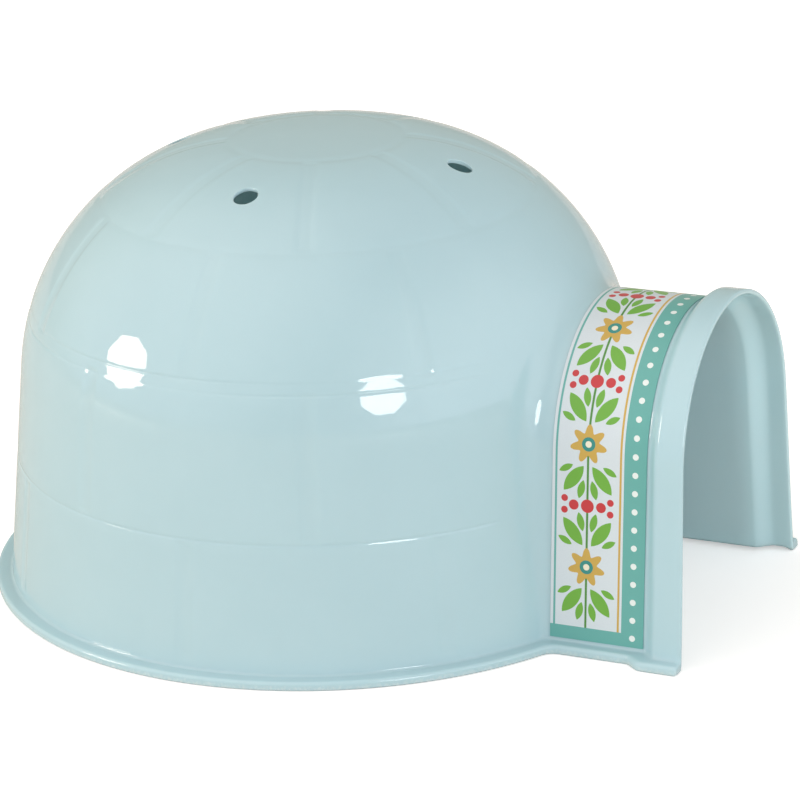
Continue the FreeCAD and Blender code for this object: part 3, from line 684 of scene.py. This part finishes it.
def label_mesh():
    """The printed wrap: a thin closed strip profile, carried over the tunnel's arch from one foot to the other.

    Also gives each point's place on the flat label: length from the near foot and distance from the front edge."""
    n_half, n_across = 61, 13
    half = np.linspace(LABEL_FOOT, ARCH_HALF, n_half)
    length = np.concatenate([half, half[-2::-1]])
    hand = np.concatenate([-np.ones(n_half), np.ones(n_half - 1)])
    run = np.concatenate([half, 2 * ARCH_HALF - half[-2::-1]]) - LABEL_FOOT
    across = np.linspace(0, 1, n_across)
    profile = np.concatenate([np.column_stack([across, np.full(n_across, LABEL_OVER)]),
                              np.column_stack([across[::-1], np.full(n_across, LABEL_UNDER)])])
    y = LABEL_FRONT_Y + (LABEL_BACK_Y - LABEL_FRONT_Y) * profile[:, 0]
    x, z = arch(length[:, None], np.broadcast_to(profile[:, 1], (len(length), len(profile))))
    points = np.stack([hand[:, None] * x, np.broadcast_to(y, x.shape), z], -1)
    n_path, n_profile = x.shape
    ids = np.arange(n_path * n_profile).reshape(n_path, n_profile)
    following = np.roll(ids, -1, axis=1)
    sides = np.stack([ids[:-1], ids[1:], following[1:], following[:-1]], -1).reshape(-1, 4)
    caps = []
    for row, flip in ((ids[0], False), (ids[-1], True)):
        over, below = row[:n_across], row[:n_across - 1:-1]
        cap = np.stack([over[:-1], over[1:], below[1:], below[:-1]], -1)
        caps.append(cap[:, ::-1] if flip else cap)
    flat = np.stack([np.broadcast_to(run[:, None], x.shape), np.broadcast_to(y - LABEL_FRONT_Y, x.shape)], -1)
    return points.reshape(-1, 3), [sides] + caps, flat.reshape(-1, 2)


def linear(code):
    """A colour written as sRGB hex, as linear red, green, blue and an alpha of 1."""
    parts = [int(code[i:i + 2], 16) / 255 for i in (1, 3, 5)]
    return [c / 12.92 if c <= 0.04045 else ((c + 0.055) / 1.055) ** 2.4 for c in parts] + [1.0]


def add(tree, kind, inputs=(), **settings):
    """Adds a node, sets its properties and fills its inputs: a node or socket is linked, anything else is a value."""
    made = tree.nodes.new(kind)
    for name, value in settings.items():
        setattr(made, name, value)
    for place, value in (inputs if isinstance(inputs, dict) else dict(enumerate(inputs))).items():
        if isinstance(value, bpy.types.Node):
            value = value.outputs[0]
        if isinstance(value, bpy.types.NodeSocket):
            tree.links.new(value, made.inputs[place])
        else:
            made.inputs[place].default_value = value
    return made


MATH, VECTOR, MIX = "ShaderNodeMath", "ShaderNodeVectorMath", "ShaderNodeMix"
NOISE, RANGE = "ShaderNodeTexNoise", "ShaderNodeMapRange"


def new_material(name):
    """An empty node material and its output node."""
    material = bpy.data.materials.new(name)
    material.use_nodes = True
    material.node_tree.nodes.clear()
    return material, material.node_tree, add(material.node_tree, "ShaderNodeOutputMaterial")


def glossy_polypropylene():
    """Pale blue-green moulded polypropylene.

    A clean gloss with slow moulding waves 24 mm long in the reflections, faint pigment clouds from 30 mm down to 4 mm
    across, and 1 mm scuffs that dull and pale the lowest millimetres of the rim, where it stands on the floor. The
    inner faces are a shade paler, which stands in for the light that comes through the thin wall."""
    material, tree, output = new_material("glossy_polypropylene")
    place = add(tree, "ShaderNodeTexCoord").outputs["Object"]
    height = add(tree, "ShaderNodeSeparateXYZ", (place,)).outputs[2]
    cloud = add(tree, NOISE, {"Vector": place, "Scale": 33.0, "Detail": 4.0, "Roughness": 0.55})
    shade = add(tree, MIX, {0: cloud, 6: linear(SHELL_DEEP), 7: linear(SHELL_PALE)}, data_type="RGBA")
    # painted light: a face that looks down or towards the middle is an inner one, and its colour is painted paler in
    # place of the light that comes through the thin wall
    outward = add(tree, VECTOR, (place, (1, 0, 1)), operation="MULTIPLY")
    normal = add(tree, "ShaderNodeNewGeometry").outputs["Normal"]
    facing = add(tree, VECTOR, (normal, outward), operation="DOT_PRODUCT").outputs[1]
    inner = add(tree, RANGE, (facing, 0.0, -0.004, 0.0, 0.9))
    shade = add(tree, MIX, {0: inner, 6: shade.outputs[2], 7: linear(SHELL_INNER_PAINTED_LIGHT)}, data_type="RGBA")
    speck = add(tree, NOISE, {"Vector": place, "Scale": 900.0, "Detail": 2.0})
    low = add(tree, RANGE, (height, 0.0045, 0.0008, 0.0, 1.0))
    worn = add(tree, RANGE, (add(tree, MATH, (low, speck), operation="MULTIPLY"), 0.38, 0.62, 0.0, 0.5))
    colour = add(tree, MIX, {0: worn, 6: shade.outputs[2], 7: linear(SHELL_SCUFF)}, data_type="RGBA")
    sheen = add(tree, RANGE, (cloud, 0.3, 0.7, 0.03, 0.05))
    rough = add(tree, MIX, {0: worn, 2: sheen, 3: 0.45}, data_type="FLOAT")
    wave = add(tree, NOISE, {"Vector": place, "Scale": 42.0, "Detail": 1.0})
    bump = add(tree, "ShaderNodeBump", {"Strength": 0.05, "Distance": 0.0004, "Height": wave})
    gloss = {"Base Color": colour.outputs[2], "Roughness": rough, "Normal": bump, "IOR": 1.49,
             "Specular IOR Level": 0.68, "Subsurface Weight": 0.3, "Subsurface Scale": 0.004,
             "Subsurface Radius": (0.9, 1.0, 1.0)}
    body = add(tree, "ShaderNodeBsdfPrincipled", gloss)
    tree.links.new(body.outputs[0], output.inputs[0])
    return material


def printed_paper():
    """Coated white label paper, printed with a garland: gold rosettes, green leaf sprigs, red berries, a teal border.

    The print is drawn from the flat label's own millimetres and repeats along it; a satin film lies over the print,
    and the paper's fibres show as a fine grain in the reflections and a slight mottle in the white. The fibres are
    drawn 0.6 mm across, coarser than real ones, so that they show."""
    material, tree, output = new_material("printed_paper")
    place = add(tree, "ShaderNodeUVMap", uv_map="flat_label")
    along, across = add(tree, "ShaderNodeSeparateXYZ", (place,)).outputs[:2]
    repeat = (LABEL_LENGTH - 2 * END_BAND) / GARLAND_REPEATS
    edge = repeat / 2
    printed = add(tree, MATH, (along, END_BAND), operation="SUBTRACT")
    cell = add(tree, MATH, (printed, repeat), operation="FLOORED_MODULO")
    x = add(tree, MATH, (cell, edge), operation="SUBTRACT")
    y = add(tree, MATH, (across, GARLAND_LINE), operation="SUBTRACT")
    x_side = add(tree, MATH, (x,), operation="ABSOLUTE")
    y_side = add(tree, MATH, (y,), operation="ABSOLUTE")
    quarter = add(tree, "ShaderNodeCombineXYZ", (x_side, y_side))

    marks = []
    # leaves: overlap of two discs, given by centre, turn, half length and half width, mirrored about both axes
    leaves = (((13.0, 5.5), 38, 6.2, 2.4), ((16.9, 2.5), 14, 3.6, 1.4), ((9.4, 8.5), 62, 3.0, 1.2))
    for centre, turn, half, wide in leaves:
        spin = (0, 0, math.radians(turn))
        local = add(tree, "ShaderNodeMapping", (quarter, (*centre, 0), spin), vector_type="TEXTURE")
        folded = add(tree, VECTOR, (local,), operation="ABSOLUTE")
        apart = (half**2 - wide**2) / (2 * wide)
        from_disc = add(tree, VECTOR, (folded, (0, apart, 0)), operation="ADD")
        reach = add(tree, VECTOR, (from_disc,), operation="LENGTH").outputs[1]
        marks.append((add(tree, MATH, (reach, apart + wide), operation="LESS_THAN"), LEAF_INK))
    # stem: a thin line along the garland
    marks.append((add(tree, MATH, (y_side, 0.42), operation="LESS_THAN"), STEM_INK))
    # rosette: a disc whose radius swings seven times round it
    rosette = add(tree, VECTOR, (quarter,), operation="LENGTH").outputs[1]
    turn = add(tree, MATH, (y, x), operation="ARCTAN2")
    lobes = add(tree, MATH, (add(tree, MATH, (turn, 7.0), operation="MULTIPLY"),), operation="COSINE")
    petal = add(tree, MATH, (lobes, 1.5, 5.7), operation="MULTIPLY_ADD")
    marks.append((add(tree, MATH, (rosette, petal), operation="LESS_THAN"), GOLD_INK))
    # the rosette's eye and the berries: discs given by centre and radius, and no berries close to the end bands
    middle, berry_room = LABEL_LENGTH / 2, 6.0
    from_middle = add(tree, MATH, (add(tree, MATH, (along, middle), operation="SUBTRACT"),), operation="ABSOLUTE")
    clear = add(tree, MATH, (from_middle, middle - END_BAND - berry_room), operation="LESS_THAN")
    discs = (((0, 0), 2.6, EYE_INK), ((0, 0), 1.2, EYE_SPOT_INK), ((edge, 0), 2.5, BERRY_INK),
             ((edge, 5.3), 1.9, BERRY_INK), ((edge - 2.2, 8.9), 1.3, BERRY_INK))
    for centre, radius, ink in discs:
        reach = add(tree, VECTOR, (quarter, (*centre, 0)), operation="DISTANCE").outputs[1]
        disc = add(tree, MATH, (reach, radius), operation="LESS_THAN")
        marks.append((add(tree, MATH, (disc, clear), operation="MULTIPLY"), ink))
    # border: a gold line, a teal line at the back edge, teal bands at the ends, and one with pale dots at the front
    for line, ink in ((9.9, GOLD_INK), (34.9, BORDER_INK)):
        marks.append((add(tree, MATH, (across, line, 0.4), operation="COMPARE"), ink))
    marks.append((add(tree, MATH, (from_middle, middle - END_BAND), operation="GREATER_THAN"), BORDER_INK))
    marks.append((add(tree, MATH, (across, BORDER), operation="LESS_THAN"), BORDER_INK))
    dot = add(tree, MATH, (along, DOT_PITCH), operation="FLOORED_MODULO")
    dot = add(tree, MATH, (dot, DOT_PITCH / 2), operation="SUBTRACT")
    dot = add(tree, "ShaderNodeCombineXYZ", (dot, across))
    dot = add(tree, VECTOR, (dot, (0, BORDER / 2, 0)), operation="DISTANCE").outputs[1]
    marks.append((add(tree, MATH, (dot, 1.15), operation="LESS_THAN"), DOT_INK))

    fibre = add(tree, NOISE, {"Vector": place, "Scale": 1.7, "Detail": 4.0})
    ink = add(tree, MIX, {0: fibre, 6: linear(PAPER_DIM), 7: linear(PAPER_WHITE)}, data_type="RGBA").outputs[2]
    for mask, code in marks:
        ink = add(tree, MIX, {0: mask, 6: ink, 7: linear(code)}, data_type="RGBA").outputs[2]
    rough = add(tree, RANGE, (fibre, 0.3, 0.7, 0.30, 0.40))
    grain = add(tree, "ShaderNodeBump", {"Strength": 0.12, "Distance": 0.00005, "Height": fibre})
    satin = {"Base Color": ink, "Roughness": rough, "Normal": grain, "Coat Weight": 0.25, "Coat Roughness": 0.2}
    body = add(tree, "ShaderNodeBsdfPrincipled", satin)
    tree.links.new(body.outputs[0], output.inputs[0])
    return material


shell_points, shell_normals, shell_faces = shell_mesh()
shell = piece_from("moulded_shell", shell_points, shell_normals, shell_faces)
shell.data.materials.append(glossy_polypropylene())
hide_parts("igloo_shell")
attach(shell, "root")

label_points, label_faces, label_flat = label_mesh()
label = piece_from("tunnel_wrap", label_points, None, label_faces)
corners = np.empty(len(label.data.loops), np.int32)
label.data.loops.foreach_get("vertex_index", corners)
label.data.uv_layers.new(name="flat_label").data.foreach_set("uv", label_flat[corners].ravel())
label.data.set_sharp_from_angle(angle=math.radians(40))
label.data.materials.append(printed_paper())
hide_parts("tunnel_label")
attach(label, "root")


def camera_at(place, yaw, pitch, roll, lens):
    """The photograph's camera: it looks along the yaw and pitch of its back direction, turned by roll."""
    yaw, pitch, roll = (math.radians(v) for v in (yaw, pitch, roll))
    back = np.array([math.sin(yaw) * math.cos(pitch), -math.cos(yaw) * math.cos(pitch), math.sin(pitch)])
    right = np.cross(-back, [0, 0, 1])
    right /= np.linalg.norm(right)
    up = np.cross(right, -back)
    right, up = math.cos(roll) * right + math.sin(roll) * up, -math.sin(roll) * right + math.cos(roll) * up
    data = bpy.data.cameras.new("photo_camera")
    data.sensor_width, data.lens = 36.0, lens
    data.clip_end = 50.0
    camera = bpy.data.objects.new("photo_camera", data)
    matrix = np.eye(4)
    matrix[:3, 0], matrix[:3, 1], matrix[:3, 2], matrix[:3, 3] = right, up, back, place
    camera.matrix_world = Matrix(matrix.tolist())
    bpy.context.scene.collection.objects.link(camera)
    bpy.context.scene.camera = camera


camera_at(place=(-1.1937, -0.5889, 0.5407), yaw=-64.24, pitch=19.67, roll=-2.40, lens=165.39)


def octagon_softbox(name, target, towards, distance, width, twist, tint, strength):
    """An eight-sided softbox as a lit panel that faces a point of the object; the camera doesn't see it."""
    towards = np.array(towards) / np.linalg.norm(towards)
    centre = np.array(target) + towards * distance
    side = np.cross([0, 0, 1], towards)
    side /= np.linalg.norm(side)
    up = np.cross(towards, side)
    turn = np.arange(8) * math.pi / 4 + math.radians(twist)
    ring = centre + width / 2 * (np.cos(turn)[:, None] * side + np.sin(turn)[:, None] * up)
    mesh = bpy.data.meshes.new(name)
    mesh.from_pydata(ring.tolist(), [], [tuple(range(8))[::-1]])
    mesh.update()
    material, tree, output = new_material(name + "_cloth")
    glow = add(tree, "ShaderNodeEmission", (linear(tint), strength))
    tree.links.new(glow.outputs[0], output.inputs[0])
    mesh.materials.append(material)
    box = bpy.data.objects.new(name, mesh)
    box.visible_camera = False
    bpy.context.scene.collection.objects.link(box)


octagon_softbox("softbox_left", target=(-0.1075, 0.0442, 0.1116), towards=(-0.531, 0.811, 0.245), distance=1.55,
                width=0.56, twist=0.0, tint="#FFEFE2", strength=11.0)
octagon_softbox("softbox_right", target=(-0.0911, -0.0502, 0.1038), towards=(-0.663, -0.708, 0.244), distance=1.55,
                width=0.50, twist=22.5, tint="#FBFDFF", strength=9.5)


def pale_floor():
    """A wide white floor that keeps the soft shadow under the rim; the camera sees it lifted towards white."""
    material, tree, output = new_material("white_studio_floor")
    seen = add(tree, "ShaderNodeLightPath").outputs["Is Camera Ray"]
    paint = add(tree, "ShaderNodeBsdfDiffuse", {"Color": linear("#F3F3F3")})
    bounce = add(tree, "ShaderNodeBsdfDiffuse", {"Color": linear("#E6E4DE")})
    lift = add(tree, "ShaderNodeEmission", {"Color": linear("#FFFFFF"), "Strength": 0.42})
    both = add(tree, "ShaderNodeAddShader", {0: paint.outputs[0], 1: lift.outputs[0]})
    pick = add(tree, "ShaderNodeMixShader", {0: seen, 1: bounce.outputs[0], 2: both.outputs[0]})
    tree.links.new(pick.outputs[0], output.inputs[0])
    mesh = bpy.data.meshes.new("studio_floor")
    half, below = 6.0, -0.0002
    corners = [(x, y, below) for x, y in ((-half, -half), (half, -half), (half, half), (-half, half))]
    mesh.from_pydata(corners, [], [(0, 1, 2, 3)])
    mesh.materials.append(material)
    floor = bpy.data.objects.new("studio_floor", mesh)
    bpy.context.scene.collection.objects.link(floor)


pale_floor()


def even_light(strength):
    """A pale surround, warmer overhead, yellower behind, and brighter before the entrance and at the upper left.

    Behind and left are as the photograph's camera sees them, and the camera itself sees plain white."""
    world = bpy.data.worlds.new("white_surround")
    world.use_nodes = True
    tree = world.node_tree
    tree.nodes.clear()
    seen = add(tree, "ShaderNodeLightPath").outputs["Is Camera Ray"]
    look = add(tree, "ShaderNodeTexCoord")
    way = add(tree, "ShaderNodeSeparateXYZ", (look,)).outputs
    blend = add(tree, RANGE, (way[2], 0.1, 1.0, 0.0, 1.0))
    tone = add(tree, MIX, {0: blend, 6: (0.97, 0.98, 1.05, 1.0), 7: (1.28, 1.18, 1.08, 1.0)}, data_type="RGBA")
    behind = add(tree, VECTOR, (look, (0.87, 0.49, 0.0)), operation="DOT_PRODUCT").outputs[1]
    behind = add(tree, RANGE, (behind, 0.2, 0.7, 0.0, 1.0))
    tone = add(tree, MIX, {0: behind, 6: tone.outputs[2], 7: (1.0, 1.02, 0.88, 1.0)}, data_type="RGBA")
    tone = add(tree, MIX, {0: seen, 6: tone.outputs[2], 7: (1, 1, 1, 1)}, data_type="RGBA")
    front = add(tree, RANGE, (way[1], -0.4, -1.0, strength, strength * 3.2), interpolation_type="SMOOTHSTEP")
    left = add(tree, VECTOR, (look, (-0.45, 0.66, 0.60)), operation="DOT_PRODUCT").outputs[1]
    left = add(tree, RANGE, (left, 0.35, 0.95, 0.0, 0.6), interpolation_type="SMOOTHSTEP")
    level = add(tree, MATH, (front, left), operation="ADD")
    level = add(tree, MIX, {0: seen, 2: level, 3: 1.0}, data_type="FLOAT")
    sky = add(tree, "ShaderNodeBackground", (tone.outputs[2], level))
    add(tree, "ShaderNodeOutputWorld", (sky,))
    bpy.context.scene.world = world


even_light(0.435)
bpy.context.scene.view_settings.view_transform = "Standard"
